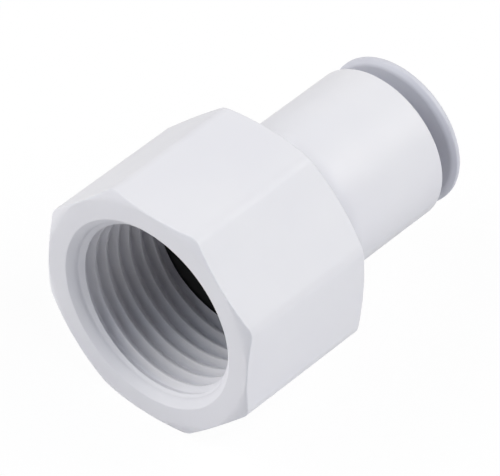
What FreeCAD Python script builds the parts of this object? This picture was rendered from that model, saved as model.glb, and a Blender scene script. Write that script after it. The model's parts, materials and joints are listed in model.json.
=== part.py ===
"""Push-fit female adapter, for a plain tube at one end and a parallel male thread at the other.

One white moulding is both ends. Its collar is an octagon that a spanner holds, with a female thread
inside and a flat rubber washer in the groove behind the thread. Its round barrel takes the tube. A
collet stands a little proud of the barrel. Its sleeve goes on inside as sprung legs with wedge
heads, and each leg carries a steel tooth that bites the tube. An O-ring below the legs seals on the
tube, and the tube ends against a stop.

Pieces are drawn with the thread's mouth at y = 0 and the axis on Y, then moved along Y together so
that the frame's origin is on the axis, halfway along the fitting. +Z is up, out of the collar's top
flat, and the collar rests on its bottom flat. Lengths are millimetres.
"""

import FreeCAD, Part
import math
import os

from FreeCAD import Vector

# Tube that the fitting takes, and the room around it in the guides
tube_diameter = 6.35
tube_clearance = 0.075

# Octagonal collar
across_flats = 21.0
collar_sides = 8
collar_length = 14.2
collar_face_diameter = 20.84
collar_chamfer_angle = 26.0
collar_corner_round = 1.5

# Barrel on the tube side
barrel_diameter = 13.85
barrel_length = 14.0
barrel_edge_chamfer = 0.28
barrel_root_chamfer = 0.22

# Female thread, drawn as the bore at its crests. The mouth is wider than the thread's roots.
thread_crest_diameter = 15.15
thread_root_diameter = 16.66
thread_mouth_relief = 0.29
thread_mouth_angle = 42.0
collar_behind_washer = 2.4

# Flat washer in the groove behind the thread. It is wider than the crests, which keep it in.
washer_thickness = 1.4
washer_bore_diameter = 9.0
washer_side_play = 0.08
washer_end_play = 0.05

# Way for the water, and the wall that the tube stops against
flow_diameter = 4.4
stop_wall = 1.6
socket_lead_in = 0.3

# O-ring and its step
ring_bore_diameter = 6.07
ring_section = 1.78
ring_side_play = 0.03
ring_end_play = 0.2

# Drawn gap between a rubber seal and the face that it lies on
seal_gap = 0.01

# Collet
collet_wall = 1.2
collet_lead_in = 0.45
collet_travel = 1.6
collet_stop_clearance = 0.09
flange_diameter = 13.52
flange_thickness = 0.85
flange_face_chamfer = 0.16
flange_under_chamfer = 0.25
guide_bore_length = 2.9
leg_relief = 0.2
leg_count = 4
slot_width = 0.8
slot_end_below_flange = 1.1

# Heads of the collet's legs, and the chamber and taper that hold them
head_height = 0.95
head_length = 2.7
head_clearance = 0.2
head_tip_chamfer = 0.4
head_flank_drop = 0.45
head_tip_clearance = 0.2
head_shoulder_angle = 45.0
taper_angle = 21.5
taper_clearance = 0.08
throat_clearance = 0.2
throat_length = 1.2
throat_lead_in = 0.3

# Steel teeth, one in each leg
tooth_thickness = 0.3
tooth_bite = 0.1
tooth_root_wall = 0.55
tooth_lean = 25.0
tooth_spread = 44.0
tooth_height_in_leg = 1.2
tooth_edge_bevel = 0.24

# How far a cutting solid runs past the face that it opens
overrun = 1.0

axis_start = Vector(0, 0, 0)
axis_along = Vector(0, 1, 0)


def slope(angle):
    return math.tan(math.radians(angle))


# Radii and stations along the axis, all from the sizes above
guide_radius = tube_diameter / 2 + tube_clearance
collar_apothem = across_flats / 2
collar_circumradius = collar_apothem / math.cos(math.pi / collar_sides)
barrel_radius = barrel_diameter / 2
thread_crest_radius = thread_crest_diameter / 2
thread_root_radius = thread_root_diameter / 2
mouth_radius = thread_root_radius + thread_mouth_relief
mouth_depth = (mouth_radius - thread_crest_radius) / slope(thread_mouth_angle)
ring_seat_radius = ring_bore_diameter / 2 + ring_section + ring_side_play
sleeve_radius = guide_radius + collet_wall
leg_bore_radius = guide_radius + leg_relief
head_radius = sleeve_radius + head_height
chamber_radius = head_radius + head_clearance
throat_radius = sleeve_radius + throat_clearance
flange_radius = flange_diameter / 2

washer_seat_y = collar_length - collar_behind_washer
thread_depth = washer_seat_y - washer_thickness - washer_end_play
stop_y = washer_seat_y + stop_wall
barrel_end_y = collar_length + barrel_length
throat_y = barrel_end_y - throat_length
taper_y = throat_y - (chamber_radius - throat_radius) / slope(taper_angle)
head_corner_y = taper_y + (head_clearance - taper_clearance) / slope(taper_angle)
leg_tip_y = head_corner_y - head_length
chamber_y = leg_tip_y - collet_travel - head_tip_clearance
ring_seat_y = chamber_y - ring_section - ring_end_play
flange_under_y = barrel_end_y + collet_travel + collet_stop_clearance
flange_face_y = flange_under_y + flange_thickness
guide_end_y = flange_face_y - collet_lead_in - guide_bore_length
slot_end_y = flange_under_y - slot_end_below_flange
tooth_y = leg_tip_y + tooth_height_in_leg
overall_length = flange_face_y


def turned(corners, angle=360):
    """Solid of revolution about the fitting's axis, from the corners of its half section as (radius, y)."""
    points = [Vector(radius, y, 0) for radius, y in corners]
    section = Part.Face(Part.makePolygon(points + points[:1]))
    return section.revolve(axis_start, axis_along, angle)


def turned_to(shape, angle):
    """A copy of the shape, turned about the fitting's axis."""
    copy = shape.copy()
    copy.rotate(axis_start, axis_along, angle)
    return copy


def collar():
    """Octagonal bar with softened long edges, its corners cut back by a cone at both ends."""
    corners = []
    for side in range(collar_sides):
        angle = 2 * math.pi * (side + 0.5) / collar_sides
        corners.append(Vector(math.cos(angle), 0, math.sin(angle)) * collar_circumradius)
    section = Part.Face(Part.makePolygon(corners + corners[:1]))
    bar = section.extrude(axis_along * collar_length)
    long_edges = [edge for edge in bar.Edges if abs(edge.tangentAt(edge.FirstParameter).y) > 0.5]
    bar = bar.makeFillet(collar_corner_round, long_edges)

    face_radius = collar_face_diameter / 2
    envelope_radius = collar_circumradius + overrun
    drop = (envelope_radius - face_radius) * slope(collar_chamfer_angle)
    envelope = turned([
        (0, 0),
        (face_radius, 0),
        (envelope_radius, drop),
        (envelope_radius, collar_length - drop),
        (face_radius, collar_length),
        (0, collar_length),
    ])
    return bar.common(envelope)


def barrel():
    """Round barrel with its end edge broken, started inside the collar so that the two join."""
    return turned([
        (0, collar_length - overrun),
        (barrel_radius, collar_length - overrun),
        (barrel_radius, barrel_end_y - barrel_edge_chamfer),
        (barrel_radius - barrel_edge_chamfer, barrel_end_y),
        (0, barrel_end_y),
    ])


def passage():
    """Everything that is hollow in the body, from the thread's mouth to the collet's throat."""
    return turned([
        (0, -overrun),
        (mouth_radius, -overrun),
        (mouth_radius, 0),
        (thread_crest_radius, mouth_depth),
        (thread_crest_radius, thread_depth),
        (thread_root_radius, thread_depth),
        (thread_root_radius, washer_seat_y),
        (flow_diameter / 2, washer_seat_y),
        (flow_diameter / 2, stop_y),
        (guide_radius, stop_y),
        (guide_radius, ring_seat_y - socket_lead_in),
        (guide_radius + socket_lead_in, ring_seat_y),
        (ring_seat_radius, ring_seat_y),
        (ring_seat_radius, chamber_y),
        (chamber_radius, chamber_y),
        (chamber_radius, taper_y),
        (throat_radius, throat_y),
        (throat_radius, barrel_end_y - throat_lead_in),
        (throat_radius + throat_lead_in, barrel_end_y),
        (throat_radius + throat_lead_in, barrel_end_y + overrun),
        (0, barrel_end_y + overrun),
    ])


def is_barrel_root(edge):
    """True for the circle where the barrel meets the collar's back face."""
    if not isinstance(edge.Curve, Part.Circle):
        return False
    at_collar = abs(edge.Curve.Center.y - collar_length) < 1e-6
    return at_collar and abs(edge.Curve.Radius - barrel_radius) < 1e-6


def make_body():
    solid = collar().fuse(barrel()).removeSplitter()
    root = [edge for edge in solid.Edges if is_barrel_root(edge)]
    solid = solid.makeChamfer(barrel_root_chamfer, root)
    return solid.cut(passage())


def make_washer():
    """Flat washer that seals on the end of the male thread."""
    outer_radius = thread_root_radius - washer_side_play
    face_y = washer_seat_y - seal_gap
    return turned([
        (washer_bore_diameter / 2, face_y),
        (outer_radius, face_y),
        (outer_radius, face_y - washer_thickness),
        (washer_bore_diameter / 2, face_y - washer_thickness),
    ])


def make_ring():
    """O-ring, lying against its step."""
    middle_radius = (ring_bore_diameter + ring_section) / 2
    middle_y = ring_seat_y + seal_gap + ring_section / 2
    centre = Vector(0, middle_y, 0)
    return Part.makeTorus(middle_radius, ring_section / 2, centre, axis_along)


def collet_blank():
    """Flange, sleeve and wedge-headed skirt as one turned ring, before the slots part it into legs."""
    flank_radius = head_radius - head_flank_drop
    flank_y = head_corner_y + head_flank_drop / slope(taper_angle)
    shoulder_y = flank_y + (flank_radius - sleeve_radius) / slope(head_shoulder_angle)
    return turned([
        (guide_radius + collet_lead_in, flange_face_y),
        (flange_radius - flange_face_chamfer, flange_face_y),
        (flange_radius, flange_face_y - flange_face_chamfer),
        (flange_radius, flange_under_y + flange_under_chamfer),
        (flange_radius - flange_under_chamfer, flange_under_y),
        (sleeve_radius, flange_under_y),
        (sleeve_radius, shoulder_y),
        (flank_radius, flank_y),
        (head_radius, head_corner_y),
        (head_radius, leg_tip_y + head_tip_chamfer),
        (head_radius - head_tip_chamfer, leg_tip_y),
        (leg_bore_radius, leg_tip_y),
        (leg_bore_radius, guide_end_y - leg_relief),
        (guide_radius, guide_end_y),
        (guide_radius, flange_face_y - collet_lead_in),
    ])


def slot():
    """One slot between two legs, open at the tips and round at its closed end."""
    reach = head_radius + overrun
    round_y = slot_end_y - slot_width / 2
    start = Vector(0, leg_tip_y - overrun, -slot_width / 2)
    straight = Part.makeBox(reach, round_y - start.y, slot_width, start)
    closed_end = Part.makeCylinder(slot_width / 2, reach, Vector(0, round_y, 0), Vector(1, 0, 0))
    return straight.fuse(closed_end)


def tooth():
    """Curved blade that leans towards the tube's stop, with a bevelled edge that bites the tube."""
    tip_radius = tube_diameter / 2 - tooth_bite
    root_radius = head_radius - tooth_root_wall
    rise = (root_radius - tip_radius) * slope(tooth_lean)
    bevel_rise = tooth_edge_bevel * slope(tooth_lean)
    blade = turned([
        (tip_radius, tooth_y),
        (root_radius, tooth_y + rise),
        (root_radius, tooth_y + rise + tooth_thickness),
        (tip_radius + tooth_edge_bevel, tooth_y + bevel_rise + tooth_thickness),
    ], tooth_spread)
    return turned_to(blade, -tooth_spread / 2)


def make_teeth():
    """One tooth in the middle of each leg."""
    return [turned_to(tooth(), 360 * leg / leg_count) for leg in range(leg_count)]


def make_collet(teeth):
    """The blank with a slot between each two legs, and a pocket moulded round each tooth."""
    solid = collet_blank()
    for gap in range(leg_count):
        solid = solid.cut(turned_to(slot(), 360 * (gap + 0.5) / leg_count))
    for blade in teeth:
        solid = solid.cut(blade)
    return solid


def main():
    teeth = make_teeth()
    pieces = {
        "body": make_body(),
        "thread_washer": make_washer(),
        "o_ring": make_ring(),
        "collet": make_collet(teeth),
    }
    for number, blade in enumerate(teeth, start=1):
        pieces[f"grip_tooth_{number}"] = blade

    os.makedirs("parts", exist_ok=True)
    for name, shape in pieces.items():
        shape = shape.Solids[0] if len(shape.Solids) == 1 else shape
        shape.translate(Vector(0, -overall_length / 2, 0))
        shape.exportStep(f"parts/{name}.step")
        box = shape.optimalBoundingBox()
        print(
            f"{name}: {len(shape.Solids)} solid, valid {shape.isValid()}, {shape.Volume:.2f} mm3,"
            f" x {box.XMin:.2f} to {box.XMax:.2f}, y {box.YMin:.2f} to {box.YMax:.2f},"
            f" z {box.ZMin:.2f} to {box.ZMax:.2f}"
        )


main()
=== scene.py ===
# %% [markdown]
# # A push-fit female adapter
#
# The object is a white plastic fitting for water tube. One end is an octagonal collar with a female
# thread. The other end is a round barrel, and a tube that is pushed into it is held by a collet. The
# lesson builds the looks of the fitting around its fixed frame, piece by piece. Nearly everything
# here is round or nearly round, so most pieces come from one idea: a section is drawn as points of
# radius and depth, and repeated at many angles about the axis.

# %% Load the fixed frame
import json
import math

import bmesh
import bpy
from mathutils import Matrix, Vector


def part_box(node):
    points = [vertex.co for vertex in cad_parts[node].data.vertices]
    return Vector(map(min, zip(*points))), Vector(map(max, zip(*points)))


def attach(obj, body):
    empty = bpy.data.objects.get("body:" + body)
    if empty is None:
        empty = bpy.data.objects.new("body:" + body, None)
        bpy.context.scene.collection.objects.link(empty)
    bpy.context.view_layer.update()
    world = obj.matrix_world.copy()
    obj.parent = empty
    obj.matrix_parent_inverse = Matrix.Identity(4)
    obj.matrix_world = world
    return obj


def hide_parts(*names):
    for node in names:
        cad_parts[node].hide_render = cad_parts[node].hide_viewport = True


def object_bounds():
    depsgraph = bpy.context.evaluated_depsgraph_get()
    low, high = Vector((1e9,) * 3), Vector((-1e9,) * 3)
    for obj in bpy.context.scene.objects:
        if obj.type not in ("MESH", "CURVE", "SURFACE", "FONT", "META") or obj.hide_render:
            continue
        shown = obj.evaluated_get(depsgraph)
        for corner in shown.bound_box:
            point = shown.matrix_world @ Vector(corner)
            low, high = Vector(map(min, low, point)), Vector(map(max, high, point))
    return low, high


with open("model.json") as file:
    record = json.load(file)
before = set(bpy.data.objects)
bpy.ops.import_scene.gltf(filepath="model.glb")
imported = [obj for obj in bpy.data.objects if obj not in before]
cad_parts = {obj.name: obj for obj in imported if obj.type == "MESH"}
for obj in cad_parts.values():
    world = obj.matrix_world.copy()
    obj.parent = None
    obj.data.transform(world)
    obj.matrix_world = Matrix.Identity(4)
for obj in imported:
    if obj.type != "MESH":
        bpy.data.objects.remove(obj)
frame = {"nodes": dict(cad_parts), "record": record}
cad_low, cad_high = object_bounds()
mm = 0.001
mounts = {mount["name"]: mount for mount in frame["record"]["mounts"]}
print("Nodes:", ", ".join(sorted(frame["nodes"])))
print("Size in mm:", [round(side / mm, 2) for side in cad_high - cad_low])

# %% [markdown]
# The camera comes first, because it decides what the rest has to look like. It looks down into the
# thread from the front and the right. A long lens, far off, gives the flat perspective of a product
# photograph. The camera's own axes are worked out from its two angles and a small roll, because that
# keeps each number readable: how far round, how high, how tilted, how far away.

# %% Camera
camera_azimuth = math.radians(38.937)
camera_elevation = math.radians(42.219)
camera_roll = math.radians(3.133)
camera_distance = 493.665 * mm
camera_lens = 444.67
aim_point = Vector((0, -2.77, 0)) * mm
framing_shift = Vector((0.107, 0.073)) * mm

back = Vector((
    math.sin(camera_azimuth) * math.cos(camera_elevation),
    -math.cos(camera_azimuth) * math.cos(camera_elevation),
    math.sin(camera_elevation),
))
level_right = Vector((math.cos(camera_azimuth), math.sin(camera_azimuth), 0))
level_up = back.cross(level_right)
right = level_right * math.cos(camera_roll) + level_up * math.sin(camera_roll)
up = level_up * math.cos(camera_roll) - level_right * math.sin(camera_roll)

camera = bpy.data.objects.new("camera", bpy.data.cameras.new("camera"))
bpy.context.scene.collection.objects.link(camera)
place = aim_point + back * camera_distance - right * framing_shift.x - up * framing_shift.y
camera.matrix_world = Matrix.Translation(place) @ Matrix((right, up, back)).transposed().to_4x4()
camera.data.lens = camera_lens
camera.data.sensor_width = 36
camera.data.clip_start = 10 * mm
camera.data.clip_end = 10
bpy.context.scene.camera = camera
bpy.context.scene.view_settings.view_transform = "Standard"
print("Camera in mm:", [round(value / mm, 1) for value in camera.location])

# %% [markdown]
# Every section is a list of (radius, depth) points in millimetres. Depth is measured along the axis
# from the thread's mouth, where a maker would hold the caliper. Moulded edges are never sharp. A
# bevel modifier could round them all, but it would also take hold of the thread. So each corner of a
# section may carry a rounding of its own, and becomes a short arc that meets both its sides.

# %% Sections with rounded corners
arc_steps = 5


def rounded(corners, steps=arc_steps):
    """Points along corners of (radius, depth, rounding). The first and last stay as they are."""
    points = [corners[0][:2]]
    for before, here, after in zip(corners, corners[1:], corners[2:]):
        rounding = here[2]
        corner = Vector(here[:2])
        if rounding == 0:
            points.append(tuple(corner))
            continue
        to_before = (Vector(before[:2]) - corner).normalized()
        to_after = (Vector(after[:2]) - corner).normalized()
        half_turn = to_before.angle(to_after) / 2
        centre = corner + (to_before + to_after).normalized() * (rounding / math.sin(half_turn))
        start = corner + to_before * (rounding / math.tan(half_turn)) - centre
        end = corner + to_after * (rounding / math.tan(half_turn)) - centre
        sweep = start.angle_signed(end)
        for step in range(steps + 1):
            turned = start.copy()
            turned.rotate(Matrix.Rotation(-sweep * step / steps, 2))
            points.append(tuple(centre + turned))
    points.append(corners[-1][:2])
    return points


sample = rounded([(0, 0, 0), (1, 0, 0.2), (1, 1, 0)])
print("A rounded corner has", len(sample), "points, from", sample[1], "to", sample[-2])

# %% [markdown]
# The frame's origin is halfway along the fitting, so a depth is turned into a Y by taking off half of
# the length. A screw modifier could turn one section into a round piece, but not into an octagon or a
# thread, where the section changes with the angle. So one function takes a section for each angle and
# joins neighbours with faces. Where two points of the grid fall on the same place, they are welded,
# which turns a four-sided face into a triangle and lets a thread run out at a flat face with no gap.

# %% From sections to a mesh
half_length = (cad_high.y - cad_low.y) / 2 / mm
weld_distance = 0.0002 * mm


def mesh_object(name, bm, body, slot, *nodes):
    """Makes a smooth-shaded object from the mesh, puts it on its body and in place of its nodes."""
    bmesh.ops.recalc_face_normals(bm, faces=bm.faces)
    mesh = bpy.data.meshes.new(name)
    bm.to_mesh(mesh)
    bm.free()
    mesh.shade_smooth()
    piece = bpy.data.objects.new(name, mesh)
    bpy.context.scene.collection.objects.link(piece)
    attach(piece, body)
    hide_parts(*nodes)
    return piece


def joined_sections(sections, angles, closed=True):
    """A mesh through one section per angle, in degrees. A closed section joins up with itself."""
    bm = bmesh.new()
    columns = []
    for section, angle in zip(sections, angles):
        turn = math.radians(angle)
        column = []
        for radius, depth in section:
            point = (radius * math.cos(turn), depth - half_length, radius * math.sin(turn))
            column.append(bm.verts.new(Vector(point) * mm))
        columns.append(column)
    for left, right_side in zip(columns, columns[1:]):
        count = len(left) if closed else len(left) - 1
        for row in range(count):
            following = (row + 1) % len(left)
            bm.faces.new((left[row], left[following], right_side[following], right_side[row]))
    bmesh.ops.remove_doubles(bm, verts=bm.verts, dist=weld_distance)
    return bm


def even_angles(count):
    return [360 * step / count for step in range(count + 1)]


print("Half of the length is", round(half_length, 2), "mm")

# %% [markdown]
# ## The body
#
# The collar is an octagon, 21 mm across its flats. Seen along the axis, its reach from the axis
# changes with the angle, and its long edges are softened like all edges of a moulding. A bevelled
# eight-sided cylinder would be quicker to make, but its few columns wouldn't meet those of the round
# bore. Here both share their columns, and one falls exactly where a flat ends and a rounding begins.

# %% The collar's octagon
sides = 8
across_flats = (cad_high.x - cad_low.x) / mm
apothem = across_flats / 2
long_edge_rounding = 1.5
side_turn = 360 / sides
corner_turn = math.radians(side_turn / 2)
rounding_centre = (apothem - long_edge_rounding) / math.cos(corner_turn)
flat_end = math.atan((apothem - long_edge_rounding) * math.tan(corner_turn) / apothem)


def octagon_reach(angle):
    """Distance in mm from the axis to the collar's side, at an angle in degrees."""
    off_flat = abs(math.radians((angle + side_turn / 2) % side_turn - side_turn / 2))
    if off_flat <= flat_end:
        return apothem / math.cos(off_flat)
    off_corner = corner_turn - off_flat
    inside_arc = long_edge_rounding**2 - (rounding_centre * math.sin(off_corner)) ** 2
    return rounding_centre * math.cos(off_corner) + math.sqrt(inside_arc)


def collar_angles(flat_steps=20, corner_steps=9):
    """Angles in degrees of the body's columns: even on each flat and even round each long edge."""
    angles = []
    for side in range(sides):
        middle = side * side_turn
        for step in range(flat_steps):
            angles.append(middle + math.degrees(flat_end) * (2 * step / flat_steps - 1))
        for step in range(corner_steps):
            turn = 2 * corner_turn * step / corner_steps
            across = rounding_centre * math.cos(corner_turn) + long_edge_rounding * math.cos(turn)
            along = rounding_centre * math.sin(corner_turn) + long_edge_rounding * math.sin(turn)
            angles.append(middle + math.degrees(math.atan2(along, across)))
    return angles + [angles[0] + 360]


body_angles = collar_angles()
edge_reach = octagon_reach(side_turn / 2)
print(len(body_angles) - 1, "columns")
print("Reach at a flat", octagon_reach(0), "mm and at an edge", round(edge_reach, 3), "mm")

# %% [markdown]
# Both ends of the collar are cut back by a cone, so that only the octagon's corners lose something
# and the middle of each flat keeps its full length. Rounding such an edge is awkward where the cone's
# cut shrinks to nothing. The trick is to shrink the section by the rounding first, find its corners
# there, and draw the arcs round them. Where the cone no longer cuts, the two corners fall together
# and the two arcs become one. The edge between face and cone is blunt and worn in the tool, so its
# arc grows wherever the cone leaves it room.

# %% The collar's ends
collar_length = 14.2
face_radius = 10.42
cone_slope = math.radians(26)
end_rounding = 0.14
face_edge_softness = 1.5
share_of_cone = 0.8


def collar_end(reach):
    """Section from the front face, over the cone and onto the side, for one reach."""
    side = reach - end_rounding
    on_side = ((side - face_radius) * math.sin(cone_slope) + end_rounding) / math.cos(cone_slope)
    if on_side <= end_rounding:
        first = second = Vector((side, end_rounding))
    else:
        pull = (1 - math.cos(cone_slope)) / math.sin(cone_slope)
        first = Vector((face_radius - end_rounding * pull, end_rounding))
        second = Vector((side, on_side))
    out_of_face = -math.pi / 2
    out_of_cone = cone_slope - math.pi / 2
    room = share_of_cone * (second - first).length / math.tan(cone_slope / 2)
    growth = min(face_edge_softness, room)
    inwards = Vector((-math.sin(cone_slope / 2), math.cos(cone_slope / 2)))
    first = first + inwards * growth / math.cos(cone_slope / 2)
    points = []
    for centre, rounding, start, end in (
        (first, end_rounding + growth, out_of_face, out_of_cone),
        (second, end_rounding, out_of_cone, 0),
    ):
        for step in range(arc_steps + 1):
            turn = start + (end - start) * step / arc_steps
            points.append(tuple(centre + Vector((math.cos(turn), math.sin(turn))) * rounding))
    return points


cone_length = collar_end(edge_reach)[-1][1]
print("The cone takes", round(cone_length, 2), "mm off the collar's long edges")

# %% [markdown]
# The thread is a 3/8 inch parallel pipe thread: 19 threads to the inch, flanks at 27.5 degrees, and
# rounded crests and roots. A screw modifier makes a helix too, but its two ends stay open and would
# have to be sewn to the body. Here the thread is part of the body's own section. A right-handed
# thread comes towards the mouth as the angle grows, so each column gets the same row of thread
# points, moved along the axis by its share of the pitch. The mesh's rows then follow the helix and
# the crests stay crisp. Points that would pass the thread's end in the collar, or the mouth, are held
# there, and the weld closes them.

# %% The thread
thread_pitch = 25.4 / 19
crest_radius = mounts["female_thread"]["dims"]["r_mm"]
root_radius = 8.33
flank_angle = math.radians(27.5)
flank_length = (root_radius - crest_radius) * math.tan(flank_angle)
crest_width = 0.2
root_width = thread_pitch - 2 * flank_length - crest_width
crest_rounding = 0.05
root_rounding = 0.1
first_crest_depth = 1.0
first_crest_angle = 240
thread_start_angle = 400
thread_start_fade = 180
thread_end = 10.1
turns_to_draw = range(-2, 11)


def one_pitch():
    """Thread points of one pitch as (radius, depth), from the middle of a crest to the next one."""
    root_far = flank_length + root_width
    next_crest = root_far + flank_length
    middle = (crest_radius + root_radius) / 2
    points = rounded([
        (crest_radius, -crest_width / 2, 0),
        (crest_radius, 0, crest_rounding),
        (middle, flank_length / 2, 0),
        (root_radius, flank_length, root_rounding),
        (root_radius, root_far, root_rounding),
        (middle, root_far + flank_length / 2, 0),
        (crest_radius, next_crest, crest_rounding),
        (crest_radius, next_crest + crest_width / 2, 0),
    ], steps=3)
    return points[:-1]


pitch_points = one_pitch()


def run_out(radius, angle, turn):
    """Brings the groove of one turn up to the crests where the thread starts, near the mouth."""
    share = (thread_start_angle + 360 * turn - angle) / thread_start_fade
    share = min(max(share, 0), 1)
    return crest_radius + (radius - crest_radius) * share * share * (3 - 2 * share)


def thread_radius(angle, depth):
    """Radius of the thread's surface at an angle and a depth, read off the pitch's points."""
    turns = (depth - first_crest_depth) / thread_pitch + (angle - first_crest_angle) / 360
    turn, rest = divmod(turns + crest_width / 2 / thread_pitch, 1)
    along = rest * thread_pitch - crest_width / 2
    loop = pitch_points + [(crest_radius, pitch_points[0][1] + thread_pitch)]
    for (radius_a, depth_a), (radius_b, depth_b) in zip(loop, loop[1:]):
        if depth_a <= along <= depth_b:
            share = (along - depth_a) / max(depth_b - depth_a, 1e-9)
            return run_out(radius_a + (radius_b - radius_a) * share, angle, turn)
    return crest_radius


def thread_section(angle, first_depth):
    """Thread points of one column, from the thread's end out to the first depth behind the mouth."""
    points = []
    for turn in turns_to_draw:
        start = first_crest_depth + thread_pitch * (turn - (angle - first_crest_angle) / 360)
        for radius, along in pitch_points:
            depth = min(max(start + along, first_depth), thread_end)
            if depth == start + along:
                radius = run_out(radius, angle, turn)
            else:
                radius = thread_radius(angle, depth)
            points.append((radius, depth))
    return points[::-1]


print("One pitch is", round(thread_pitch, 3), "mm and has", len(pitch_points), "points")

# %% [markdown]
# The mouth is opened by a shallow cone. The core that moulds its outer part and the core that moulds
# the thread are two pieces of the tool, and they meet in a soft crease: a worn shoulder comes down to
# it from the face, and a straight cone goes on from it to the crests. The helix and the crease can't
# share rows, so the mouth has rows of its own at fixed depths, and each takes whichever is further
# out, the cone or the thread. The shoulder is a cubic curve, which is steep at the face and nearly
# level at the crease.

# %% The mouth
mouth_radius = 8.62
mouth_slope = math.radians(42)
mouth_rounding = 0.2
mouth_end = (mouth_radius - crest_radius) / math.tan(mouth_slope)
mouth_rows = 64
shoulder_slope = math.tan(math.radians(50))
shoulder_end_slope = math.tan(math.radians(8))
crease_depth = 0.75
crease_softness = 0.08

mouth_edge = rounded([
    (mouth_radius - shoulder_slope, 1, 0),
    (mouth_radius, 0, mouth_rounding),
    (mouth_radius + 1, 0, 0),
])[1:-1]


def cone_radius(depth):
    """Radius of the mouth at a depth: the shoulder, the crease and the cone down to the crests."""
    bend = (shoulder_slope - shoulder_end_slope) * crease_depth / 3
    shoulder = mouth_radius - shoulder_slope * depth + bend * (depth / crease_depth) ** 3
    at_crease = mouth_radius - shoulder_slope * crease_depth + bend
    steepness = (at_crease - crest_radius) / (mouth_end - crease_depth)
    cone = crest_radius + steepness * (mouth_end - depth)
    closeness = max(crease_softness - abs(cone - shoulder), 0)
    return min(cone, shoulder) - closeness**2 / (4 * crease_softness)


def mouth_section(angle):
    """Points of one column from the end of the cone out to the rounding of the mouth's edge."""
    points = []
    for row in range(mouth_rows):
        depth = mouth_end + (mouth_edge[0][1] - mouth_end) * row / mouth_rows
        points.append((max(cone_radius(depth), thread_radius(angle, depth)), depth))
    return points


print("The mouth's cone is", round(mouth_end, 2), "mm deep")

# %% [markdown]
# Behind the thread, a groove holds a flat rubber washer. Then come the water's way, the stop and the
# socket for the tube, the step for the O-ring, and the chamber and throat for the collet. The depths
# are those of the frame, so the inside fits the pieces that it holds. The outside goes back from the
# collar and along the barrel to its soft end. Behind the collar the barrel has a shallow neck, and a
# large arc eases the neck's shoulder into the barrel. A soft shade on the barrel comes from it. All
# of this could be cut and joined from simple solids, but one closed outline leaves no seams to clean.

# %% The body's mesh
barrel_radius = 6.925
barrel_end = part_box("body")[1].y / mm + half_length
neck_depth = 0.32
neck_radius = barrel_radius - neck_depth
neck_rounding = 0.3
neck_slope = math.radians(27)
neck_easing = 2.6
neck_end = 18.2
shoulder_corner = neck_end - neck_easing * math.tan(neck_slope / 2)
neck_corner = shoulder_corner - (barrel_radius - neck_radius) / math.tan(neck_slope)
barrel_edge_rounding = 0.08
groove_floor = 11.8
flow_radius = 2.2
tube_stop = 13.4
socket_radius = mounts["tube_port"]["dims"]["r_mm"]
ring_step = 18.413
ring_wall = 4.845
chamber_floor = 20.393
chamber_radius = 5.6
taper_start = 24.588
throat_radius = 4.65
throat_start = 27.0
lead_in = 0.3
inner_rounding = 0.12
bore_edge_rounding = 0.08
socket_edge_rounding = 0.05

neck = rounded([
    (face_radius, collar_length, 0),
    (neck_radius, collar_length, neck_rounding),
    (neck_radius, neck_corner, neck_rounding),
    (barrel_radius, shoulder_corner, neck_easing),
    (barrel_radius, barrel_end, 0),
], steps=14)[1:-1]

behind_neck = rounded([
    (barrel_radius, collar_length, 0),
    (barrel_radius, barrel_end, barrel_edge_rounding),
    (throat_radius + lead_in, barrel_end, bore_edge_rounding),
    (throat_radius, barrel_end - lead_in, bore_edge_rounding),
    (throat_radius, throat_start, inner_rounding),
    (chamber_radius, taper_start, inner_rounding),
    (chamber_radius, chamber_floor, inner_rounding),
    (ring_wall, chamber_floor, bore_edge_rounding),
    (ring_wall, ring_step, bore_edge_rounding),
    (socket_radius + lead_in, ring_step, socket_edge_rounding),
    (socket_radius, ring_step - lead_in, socket_edge_rounding),
    (socket_radius, tube_stop, inner_rounding),
    (flow_radius, tube_stop, inner_rounding),
    (flow_radius, groove_floor, inner_rounding),
    (root_radius, groove_floor, inner_rounding),
    (root_radius, thread_end, 0),
], steps=4)[1:]

body_sections = []
for angle in body_angles:
    front = collar_end(octagon_reach(angle))
    rear = [(radius, collar_length - depth) for radius, depth in reversed(front)]
    thread = thread_section(angle, mouth_end) + mouth_section(angle)
    body_sections.append(mouth_edge + front + rear + neck + behind_neck + thread)

body = mesh_object(
    "fitting_body", joined_sections(body_sections, body_angles), "fitting", "white_moulding", "body"
)
print("Body:", len(body.data.polygons), "faces")

# %% [markdown]
# ## The collet
#
# The collet is one thin moulding. Its flange stands proud of the barrel, and its sleeve goes down
# inside as four sprung legs. The legs' heads are wedges that ride on the body's taper. The round
# blank comes from the same section tool. Its outline starts and ends halfway down the straight bore,
# where there is no corner to round.

# %% The collet's blank
flange_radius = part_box("collet")[1].x / mm
flange_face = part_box("collet")[1].y / mm + half_length
flange_thickness = 0.85
flange_under = flange_face - flange_thickness
flange_face_rounding = 0.22
flange_rim_rounding = 0.2
flange_under_chamfer = 0.38
flange_under_rounding = 0.5
flange_root_rounding = 0.25
entry_bevel = 0.45
sleeve_radius = 4.45
leg_bore = 3.45
head_radius = 5.4
leg_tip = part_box("collet")[0].y / mm + half_length
head_corner = 24.893
head_bevel = 0.4
flank_drop = 0.45
flank_slope = math.radians(21.5)
flank_depth = head_corner + flank_drop / math.tan(flank_slope)
shoulder_depth = flank_depth + (head_radius - flank_drop - sleeve_radius)
guide_end = flange_face - entry_bevel - mounts["tube_port"]["dims"]["length_mm"]
guide_step = 0.2
collet_rounding = 0.1
leg_tip_rounding = 0.08
guide_rounding = 0.05
blank_start = 29.0
blank_finish = 28.5

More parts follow.
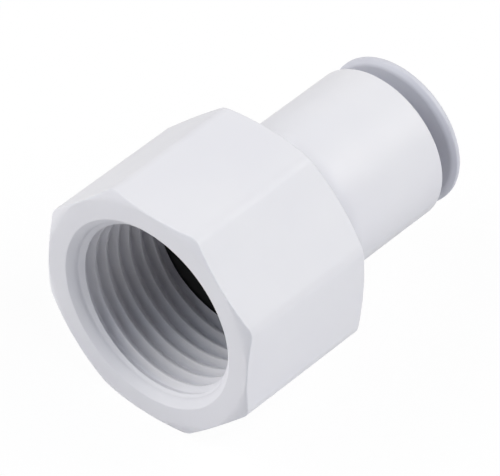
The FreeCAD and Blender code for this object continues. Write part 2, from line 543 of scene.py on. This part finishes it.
blank = rounded([
    (socket_radius, blank_start, 0),
    (socket_radius, flange_face - entry_bevel, collet_rounding),
    (socket_radius + entry_bevel, flange_face, collet_rounding),
    (flange_radius, flange_face, flange_face_rounding),
    (flange_radius, flange_under + flange_under_chamfer, flange_rim_rounding),
    (flange_radius - flange_under_chamfer, flange_under, flange_under_rounding),
    (sleeve_radius, flange_under, flange_root_rounding),
    (sleeve_radius, shoulder_depth, collet_rounding),
    (head_radius - flank_drop, flank_depth, collet_rounding),
    (head_radius, head_corner, collet_rounding),
    (head_radius, leg_tip + head_bevel, collet_rounding),
    (head_radius - head_bevel, leg_tip, collet_rounding),
    (leg_bore, leg_tip, leg_tip_rounding),
    (leg_bore, guide_end - guide_step, guide_rounding),
    (socket_radius, guide_end, guide_rounding),
    (socket_radius, blank_finish, 0),
])
collet_angles = even_angles(144)
collet = mesh_object(
    "collet_ring", joined_sections([blank] * len(collet_angles), collet_angles),
    "release_collet", "collet_moulding", "collet",
)
print("Collet's blank:", len(collet.data.polygons), "faces")

# %% [markdown]
# The slots that part the legs, and the pockets for the teeth, are taken out of the blank with a
# boolean, because a cut is what they are. Each pocket is cut by a copy of the tooth that sits in it,
# so the tooth fits it all round.

# %% Cut the slots and the pockets
legs = 4
slot_width = 0.8
uncut_sleeve = 1.1
slot_end = flange_under - uncut_sleeve
slot_end_steps = 15
cutter_margin = 1


def slot_cutter(angle):
    """A straight slot from below the legs' tips up to a round end, as a closed prism."""
    bm = bmesh.new()
    half = slot_width / 2
    middle = slot_end - half
    outline = [(-half, leg_tip - cutter_margin), (half, leg_tip - cutter_margin)]
    for step in range(slot_end_steps + 1):
        turn = math.pi * step / slot_end_steps
        outline.append((half * math.cos(turn), middle + half * math.sin(turn)))
    near = []
    far = []
    for reach, end in ((0, near), (head_radius + cutter_margin, far)):
        for across, depth in outline:
            end.append(bm.verts.new(Vector((reach, depth - half_length, across)) * mm))
    bm.faces.new(near)
    bm.faces.new(far[::-1])
    for i in range(len(outline)):
        following = (i + 1) % len(outline)
        bm.faces.new((near[following], near[i], far[i], far[following]))
    bmesh.ops.recalc_face_normals(bm, faces=bm.faces)
    bmesh.ops.rotate(bm, verts=bm.verts, matrix=Matrix.Rotation(math.radians(angle), 3, "Y"))
    mesh = bpy.data.meshes.new("slot_cutter")
    bm.to_mesh(mesh)
    bm.free()
    return bpy.data.objects.new("slot_cutter", mesh)


def cut(piece, cutters):
    """Takes the cutters' shapes out of the piece for good, and removes the cutters."""
    for cutter in cutters:
        bpy.context.scene.collection.objects.link(cutter)
        boolean = piece.modifiers.new("cut", "BOOLEAN")
        boolean.operation = "DIFFERENCE"
        boolean.solver = "EXACT"
        boolean.object = cutter
    evaluated = piece.evaluated_get(bpy.context.evaluated_depsgraph_get())
    shape = bpy.data.meshes.new_from_object(evaluated)
    piece.modifiers.clear()
    piece.data = shape
    for cutter in cutters:
        bpy.data.objects.remove(cutter)


pockets = []
for number in range(1, legs + 1):
    tooth = frame["nodes"][f"grip_tooth_{number}"]
    pockets.append(bpy.data.objects.new("pocket_cutter", tooth.data.copy()))
slots = [slot_cutter(360 * (leg + 0.5) / legs) for leg in range(legs)]
cut(collet, slots + pockets)
print("Collet:", len(collet.data.polygons), "faces")

# %% [markdown]
# ## Seals
#
# The O-ring is moulded between two halves of a tool that meet at its inside and outside, and leave a
# hair of flash there. A ready-made torus would have no flash, so the round section is drawn point by
# point, with a little more radius near the two seams.

# %% The O-ring
ring_section_radius = 0.89
ring_middle_radius = 3.925
clear_of_step = 0.01
clear_of_wall = 0.002
ring_middle = ring_step + clear_of_step + ring_section_radius
ring_outline_points = 40
flash_height = 0.035
flash_reach = math.radians(7)

ring_outline = []
for step in range(ring_outline_points):
    turn = 2 * math.pi * step / ring_outline_points
    off_parting = min(abs(math.remainder(turn, math.pi)), flash_reach) / flash_reach
    radius = ring_section_radius + flash_height * (1 - off_parting) - clear_of_wall
    from_axis = ring_middle_radius + radius * math.cos(turn)
    depth = ring_middle + radius * math.sin(turn)
    ring_outline.append((from_axis, depth))
ring_angles = even_angles(120)
o_ring = mesh_object(
    "o_ring_seal", joined_sections([ring_outline] * len(ring_angles), ring_angles),
    "fitting", "seal_rubber", "o_ring",
)
print("O-ring:", len(o_ring.data.polygons), "faces")

# %% [markdown]
# The flat washer is punched from sheet, so its edges are nearly square: the punch drags the rubber a
# little on the side where it goes in. It shows as the black crescent deep in the thread. It is made
# as the other round pieces are, from one outline.

# %% The flat washer
washer_low, washer_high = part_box("thread_washer")
washer_radius = washer_high.x / mm
washer_bore = 4.5
washer_face = washer_low.y / mm + half_length
washer_back = washer_high.y / mm + half_length
punched_in_rounding = 0.08
punched_out_rounding = 0.04
washer_start = 6
washer_finish = 5.9
washer_outline = rounded([
    (washer_start, washer_face, 0),
    (washer_radius, washer_face, punched_in_rounding),
    (washer_radius, washer_back, punched_out_rounding),
    (washer_bore, washer_back, punched_out_rounding),
    (washer_bore, washer_face, punched_in_rounding),
    (washer_finish, washer_face, 0),
])
washer = mesh_object(
    "flat_washer", joined_sections([washer_outline] * len(ring_angles), ring_angles),
    "fitting", "seal_rubber", "thread_washer",
)
print("Washer:", len(washer.data.polygons), "faces")

# %% [markdown]
# Broad faces should shade as flat as they are, and the small roundings should carry the whole turn.
# The weighted normal modifier does that: the larger of two faces that meet decides the normal. Edges
# that turn by more than 40 degrees, as in the collet's slots, are marked sharp first.

# %% Shading of the moulded pieces
sharp_turn = math.radians(40)
for piece in (body, collet, o_ring, washer):
    piece.data.set_sharp_from_angle(angle=sharp_turn)
    weighted = piece.modifiers.new("weighted_normals", "WEIGHTED_NORMAL")
    weighted.keep_sharp = True
    weighted.weight = 80
print("Edges that turn by more than", round(math.degrees(sharp_turn)), "degrees are sharp")

# %% [markdown]
# ## Finishes
#
# A few small functions serve every material. Colours are written as sRGB hex, as in a paint program,
# and one function turns them to the linear values that the renderer needs. Another adds a node, sets
# it and links it, and two more begin and end a material.

# %% Colour and node tools


def linear(hex_colour):
    """Linear RGBA for an sRGB hex colour such as 'E6E6EA'."""
    channels = []
    for start in (0, 2, 4):
        value = int(hex_colour[start:start + 2], 16) / 255
        channels.append(value / 12.92 if value <= 0.04045 else ((value + 0.055) / 1.055) ** 2.4)
    return (*channels, 1)


def add_node(owner, kind, settings=None, inputs=None):
    """One node with its settings, and its inputs given as values or as other nodes' outputs."""
    made = owner.node_tree.nodes.new(kind)
    for name, value in (settings or {}).items():
        setattr(made, name, value)
    for name, value in (inputs or {}).items():
        if isinstance(value, bpy.types.NodeSocket):
            owner.node_tree.links.new(value, made.inputs[name])
        else:
            made.inputs[name].default_value = value
    return made


def new_material(name):
    """A material with no nodes in it yet."""
    material = bpy.data.materials.new(name)
    material.use_nodes = True
    material.node_tree.nodes.clear()
    return material


def finish_with(material, shader):
    """Ends the material's nodes in its output and returns it."""
    add_node(material, "ShaderNodeOutputMaterial", inputs={"Surface": shader.outputs[0]})
    return material


print("Mid grey BC is", round(linear("BCBCBC")[0], 3), "in linear light")

# %% [markdown]
# The body and the collet are acetal copolymer, moulded in a tool with a fine satin finish. To the eye
# that is a white with no texture, a broad soft sheen, and a little light that enters and comes out
# again near the edges. Real mouldings also have slow hollows where thick walls shrank, and here and
# there a speck in the resin. The grain of the tool's surface is about 0.03 mm, too fine to show, so
# it is drawn at 0.15 mm. The collet is the same resin with a little more blue and grey in it, which
# gives it a faint lilac cast. Acetal's IOR is about 1.48, and its satin has a roughness of 0.4 to
# 0.5. One plain colour would do from afar, but close up it looks like no real plastic, so noise at
# three scales gives the slow tints, the hollows and the grain.

# %% Moulded acetal
grain_size = 0.15 * mm
grain_depth = 0.006 * mm
hollow_size = 5 * mm
hollow_depth = 0.08 * mm
tint_size = 9 * mm
speck_spacing = 4 * mm
speck_size = 0.07 * mm
speck_core = 0.6
speck_rim = 1.4
light_travel = 0.3 * mm
uneven_shine = 0.04
acetal_ior = 1.48


def moulded_acetal(name, colour, cooler, speck_colour, roughness):
    """Acetal with slow tints, hollows and a fine grain, and specks far apart."""
    material = new_material(name)
    place = add_node(material, "ShaderNodeTexCoord").outputs["Object"]
    tint = add_node(material, "ShaderNodeTexNoise", inputs={
        "Vector": place, "Scale": 1 / tint_size, "Detail": 2.0})
    tints = add_node(material, "ShaderNodeValToRGB", inputs={"Fac": tint.outputs["Fac"]})
    tints.color_ramp.elements[0].position = 0.35
    tints.color_ramp.elements[0].color = linear(cooler)
    tints.color_ramp.elements[1].position = 0.65
    tints.color_ramp.elements[1].color = linear(colour)
    cells = add_node(material, "ShaderNodeTexVoronoi", inputs={
        "Vector": place, "Scale": 1 / speck_spacing, "Randomness": 1.0})
    speck = add_node(material, "ShaderNodeMapRange", {"interpolation_type": "SMOOTHSTEP"}, {
        "Value": cells.outputs["Distance"],
        "From Min": speck_size / speck_spacing * speck_core,
        "From Max": speck_size / speck_spacing * speck_rim,
        "To Min": 1.0, "To Max": 0.0})
    speckled = add_node(material, "ShaderNodeMixRGB", {"blend_type": "MIX"}, {
        "Fac": speck.outputs["Result"],
        "Color1": tints.outputs["Color"], "Color2": linear(speck_colour)})
    grain = add_node(material, "ShaderNodeTexNoise", inputs={
        "Vector": place, "Scale": 1 / grain_size, "Detail": 3.0, "Roughness": 0.6})
    hollows = add_node(material, "ShaderNodeTexNoise", inputs={
        "Vector": place, "Scale": 1 / hollow_size, "Detail": 1.0})
    shine = add_node(material, "ShaderNodeMapRange", inputs={
        "Value": hollows.outputs["Fac"], "From Min": 0.3, "From Max": 0.7,
        "To Min": roughness - uneven_shine, "To Max": roughness + uneven_shine})
    waves = add_node(material, "ShaderNodeBump", inputs={
        "Height": hollows.outputs["Fac"], "Strength": 0.35, "Distance": hollow_depth})
    grains = add_node(material, "ShaderNodeBump", inputs={
        "Height": grain.outputs["Fac"], "Strength": 0.3, "Distance": grain_depth,
        "Normal": waves.outputs["Normal"]})
    shader = add_node(material, "ShaderNodeBsdfPrincipled", inputs={
        "Base Color": speckled.outputs["Color"], "Roughness": shine.outputs["Result"],
        "IOR": acetal_ior, "Specular IOR Level": 0.35,
        "Subsurface Weight": 0.05, "Subsurface Radius": (1.0, 0.95, 0.9),
        "Subsurface Scale": light_travel, "Normal": grains.outputs["Normal"]})
    return finish_with(material, shader)


satin = moulded_acetal("satin_moulded_acetal", "D8D8DC", "D5D5DA", "BFBFC4", roughness=0.48)
lilac = moulded_acetal("lilac_moulded_acetal", "C4C5CD", "C1C2CB", "AFAFB9", roughness=0.45)
body.data.materials.append(satin)
collet.data.materials.clear()
collet.data.materials.append(lilac)
print("Acetal: IOR", acetal_ior, "and a grain of", grain_size / mm, "mm")

# %% [markdown]
# The seals are black nitrile rubber. Moulded rubber is dull, a little grey where it catches light,
# and faintly dusty. The teeth are stamped from stainless sheet: a bright metal, with fine lines from
# rolling that run along the strip. Rolling lines are about 0.01 mm apart, too fine to show, so they
# are drawn at 0.06 mm. Rubber's IOR is about 1.52. A metal keeps the default IOR, because its
# reflection is set by its colour.

# %% Rubber and steel
dust_size = 1.2 * mm
skin_size = 0.08 * mm
skin_depth = 0.01 * mm
rolling_line = 0.06 * mm
line_depth = 0.004 * mm
line_stretch = 14.0
rubber_ior = 1.52


def nitrile_rubber(name):
    """Dull black rubber with a fine uneven skin and a little dust."""
    material = new_material(name)
    place = add_node(material, "ShaderNodeTexCoord").outputs["Object"]
    dust = add_node(material, "ShaderNodeTexNoise", inputs={
        "Vector": place, "Scale": 1 / dust_size, "Detail": 6.0, "Roughness": 0.65})
    shades = add_node(material, "ShaderNodeValToRGB", inputs={"Fac": dust.outputs["Fac"]})
    shades.color_ramp.elements[0].position = 0.4
    shades.color_ramp.elements[0].color = linear("0B0B0C")
    shades.color_ramp.elements[1].position = 0.75
    shades.color_ramp.elements[1].color = linear("1C1C1E")
    dull = add_node(material, "ShaderNodeMapRange", inputs={
        "Value": dust.outputs["Fac"], "To Min": 0.55, "To Max": 0.8})
    skin = add_node(material, "ShaderNodeTexNoise", inputs={
        "Vector": place, "Scale": 1 / skin_size, "Detail": 2.0})
    bump = add_node(material, "ShaderNodeBump", inputs={
        "Height": skin.outputs["Fac"], "Strength": 0.4, "Distance": skin_depth})
    shader = add_node(material, "ShaderNodeBsdfPrincipled", inputs={
        "Base Color": shades.outputs["Color"], "Roughness": dull.outputs["Result"],
        "IOR": rubber_ior, "Normal": bump.outputs["Normal"]})
    return finish_with(material, shader)


def rolled_stainless(name):
    """Bright stainless sheet with fine lines across its Y axis."""
    material = new_material(name)
    place = add_node(material, "ShaderNodeTexCoord").outputs["Object"]
    stretched = add_node(material, "ShaderNodeMapping", inputs={
        "Vector": place, "Scale": (1.0, line_stretch, 1.0)})
    lines = add_node(material, "ShaderNodeTexNoise", inputs={
        "Vector": stretched.outputs["Vector"], "Scale": 1 / (rolling_line * line_stretch),
        "Detail": 3.0})
    shades = add_node(material, "ShaderNodeValToRGB", inputs={"Fac": lines.outputs["Fac"]})
    shades.color_ramp.elements[0].color = linear("B4B3B0")
    shades.color_ramp.elements[1].color = linear("D0CFCC")
    worn = add_node(material, "ShaderNodeMapRange", inputs={
        "Value": lines.outputs["Fac"], "To Min": 0.2, "To Max": 0.38})
    bump = add_node(material, "ShaderNodeBump", inputs={
        "Height": lines.outputs["Fac"], "Strength": 0.3, "Distance": line_depth})
    shader = add_node(material, "ShaderNodeBsdfPrincipled", inputs={
        "Base Color": shades.outputs["Color"], "Metallic": 1.0, "Roughness": worn.outputs["Result"],
        "Normal": bump.outputs["Normal"]})
    return finish_with(material, shader)


rubber = nitrile_rubber("black_nitrile_rubber")
steel = rolled_stainless("rolled_stainless_sheet")
for piece in (o_ring, washer):
    piece.data.materials.append(rubber)
for number in range(1, legs + 1):
    blade = frame["nodes"][f"grip_tooth_{number}"]
    for slot in blade.material_slots:
        slot.material = steel
print("Rubber on 2 pieces, stainless on", legs)

# %% [markdown]
# ## Floor and light
#
# The fitting lies on its bottom flat on a pale floor. The picture's white ground is made for the
# camera and for reflections alone: what they see of the world, and most of what they see of the
# floor, is plain white, and a little of the floor's own shade stays, so the contact shadow is kept.
# The world gives nothing else, so the light on the fitting comes from the softboxes in the next step.

# %% Floor and world
floor_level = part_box("body")[0].z
floor_reach = 2.0
floor_whiteness = 0.95
floor_mesh = bpy.data.meshes.new("floor")
bm = bmesh.new()
bmesh.ops.create_grid(bm, x_segments=1, y_segments=1, size=floor_reach)
bm.to_mesh(floor_mesh)
bm.free()
floor = bpy.data.objects.new("floor", floor_mesh)
floor.location.z = floor_level
bpy.context.scene.collection.objects.link(floor)


def seen_directly(owner, share):
    """A factor that is the given share for camera, glossy and transmission rays, and else 0."""
    rays = add_node(owner, "ShaderNodeLightPath").outputs
    either = add_node(owner, "ShaderNodeMath", {"operation": "MAXIMUM"}, {
        0: rays["Is Camera Ray"], 1: rays["Is Glossy Ray"]})
    any_of = add_node(owner, "ShaderNodeMath", {"operation": "MAXIMUM"}, {
        0: either.outputs[0], 1: rays["Is Transmission Ray"]})
    return add_node(owner, "ShaderNodeMath", {"operation": "MULTIPLY"}, {
        0: any_of.outputs[0], 1: share}).outputs[0]


paper = new_material("white_paper_floor")
matte = add_node(paper, "ShaderNodeBsdfDiffuse", inputs={"Color": linear("F0F0F2")})
white = add_node(paper, "ShaderNodeEmission", inputs={"Color": (1, 1, 1, 1), "Strength": 1.0})
ground = add_node(paper, "ShaderNodeMixShader", inputs={
    "Fac": seen_directly(paper, floor_whiteness), 1: matte.outputs[0], 2: white.outputs[0]})
floor_mesh.materials.append(finish_with(paper, ground))

world = bpy.data.worlds.new("white_ground")
bpy.context.scene.world = world
world.use_nodes = True
world.node_tree.nodes.clear()
unlit = add_node(world, "ShaderNodeBackground", inputs={"Strength": 0.0})
bright = add_node(world, "ShaderNodeBackground", inputs={"Color": (1, 1, 1, 1), "Strength": 1.0})
seen = add_node(world, "ShaderNodeMixShader", inputs={
    "Fac": seen_directly(world, 1.0), 1: unlit.outputs[0], 2: bright.outputs[0]})
add_node(world, "ShaderNodeOutputWorld", inputs={"Surface": seen.outputs[0]})
print("The floor is", round(-floor_level / mm, 2), "mm below the axis")

# %% [markdown]
# Seven square softboxes stand round the fitting, 0.6 m off, and none is right at the camera. Soft
# light from many sides is what a photographer gives a white object on white. A picture of a studio
# round the scene could do it too, but lamps can be set one by one. The boxes on the left and in front
# light the face and reach into the thread, and those on the right and at the back light the flats and
# the barrel. Cool ones and warm ones nearly balance each other, so the plastic stays a plain white
# with a faint cool cast.

# %% Softboxes
box_width = 0.3


def softbox(name, position, power, colour):
    """A square area lamp that faces the fitting. Its place is in metres and its power in watts."""
    lamp = bpy.data.lights.new(name, "AREA")
    lamp.size = box_width
    lamp.energy = power
    lamp.color = linear(colour)[:3]
    holder = bpy.data.objects.new(name, lamp)
    holder.location = position
    holder.rotation_euler = Vector(position).to_track_quat("Z", "Y").to_euler()
    bpy.context.scene.collection.objects.link(holder)


softbox("left_box", (-0.367, -0.212, 0.424), 1.57, "FFFDFB")
softbox("low_left_box", (-0.502, -0.29, 0.155), 0.64, "FFFFFF")
softbox("front_left_box", (-0.212, -0.367, 0.424), 0.7, "EAF3FF")
softbox("low_front_left_box", (-0.29, -0.502, 0.155), 0.57, "FFF8EE")
softbox("right_box", (0.424, 0, 0.424), 1.67, "F0F5FF")
softbox("back_right_box", (0.3, 0.3, 0.424), 2.1, "FFFBF2")
softbox("back_left_box", (-0.3, 0.3, 0.424), 0.17, "FFFFFF")
print("Softboxes are", box_width, "m wide")
